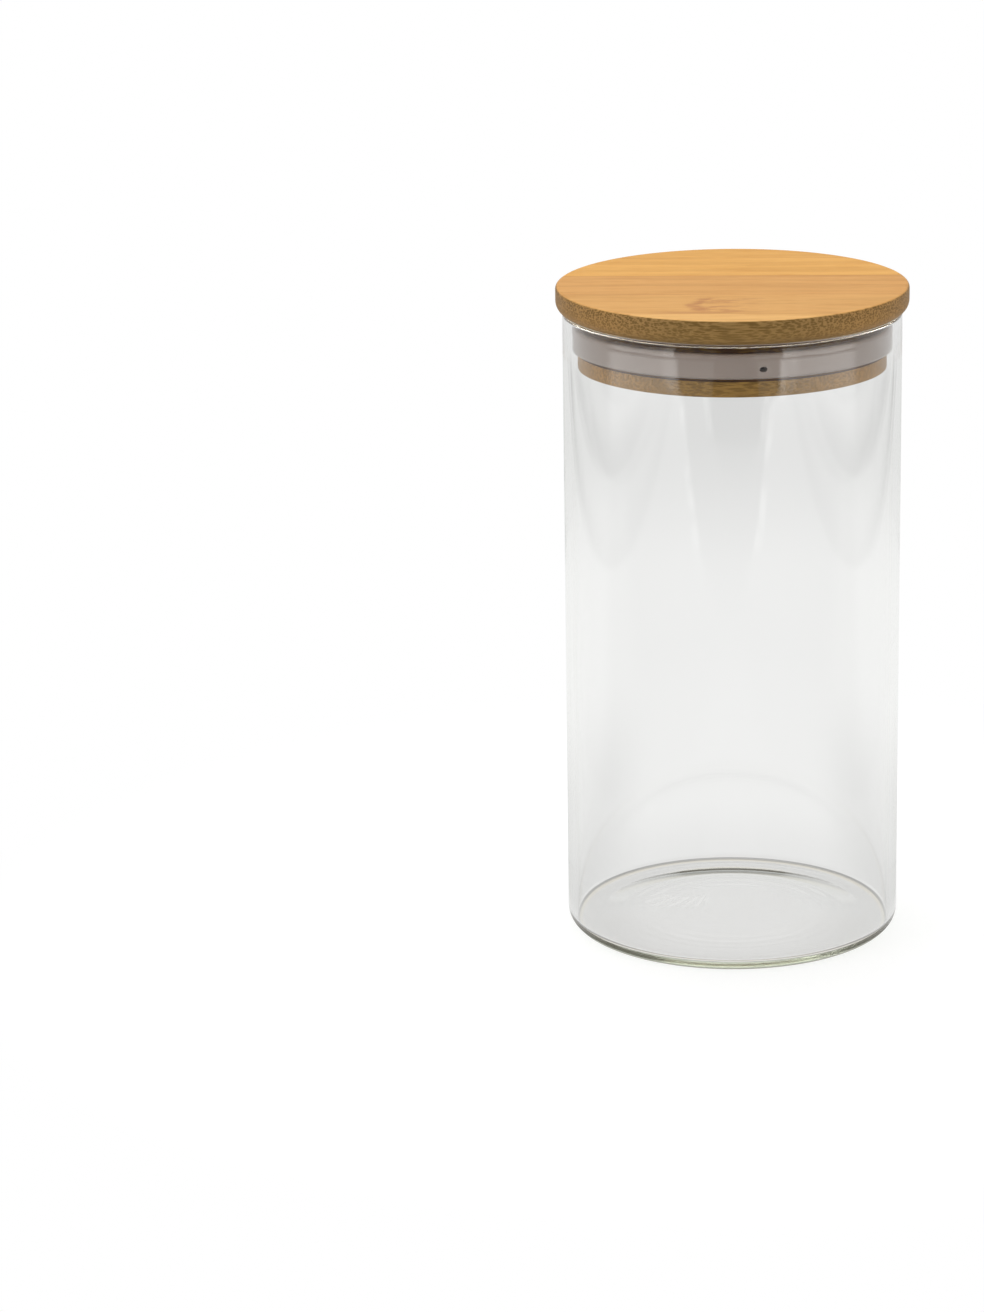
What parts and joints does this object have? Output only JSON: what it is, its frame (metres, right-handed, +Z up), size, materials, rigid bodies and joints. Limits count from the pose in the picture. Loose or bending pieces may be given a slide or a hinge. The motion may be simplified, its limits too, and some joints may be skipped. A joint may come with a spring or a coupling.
{
  "type": "lidded glass canister",
  "caption": "Straight round glass storage jar with a push-in laminated bamboo lid and a silicone seal ring in the lid's plug.",
  "frame": {"origin": "centre of the jar's foot ring, on the surface it stands on", "axes": "+Z up along the jar's axis, +X along the lid's grain, -Y to the front"},
  "size_m": [0.104, 0.104, 0.1976],
  "materials": {
    "glass": "clear polished",
    "silicone": "smooth translucent warm grey",
    "bamboo_board": "sanded and oiled, satin",
    "bamboo_plug": "turned, satin"
  },
  "bodies": {
    "jar": {"glass_jar": "glass"},
    "seal": {"seal_ring": "silicone"},
    "lid": {"top_strip_1": "bamboo_board", "top_strip_2": "bamboo_board", "top_strip_3": "bamboo_board", "top_strip_4": "bamboo_board", "top_strip_5": "bamboo_board", "plug_upper_strip_1": "bamboo_plug", "plug_upper_strip_2": "bamboo_plug", "plug_upper_strip_3": "bamboo_plug", "plug_upper_strip_4": "bamboo_plug", "plug_lower_strip_1": "bamboo_plug", "plug_lower_strip_2": "bamboo_plug", "plug_lower_strip_3": "bamboo_plug", "plug_lower_strip_4": "bamboo_plug"}
  },
  "joints": [
    {"name": "lid_lift", "type": "slide", "parent": "jar", "child": "seal", "axis": [0, 0, 1], "range_m": [0, 0.06]},
    {"name": "lid_turn", "type": "hinge", "parent": "seal", "child": "lid", "pos_m": [0, 0, 0.19], "axis": [0, 0, 1], "continuous": true}
  ]
}
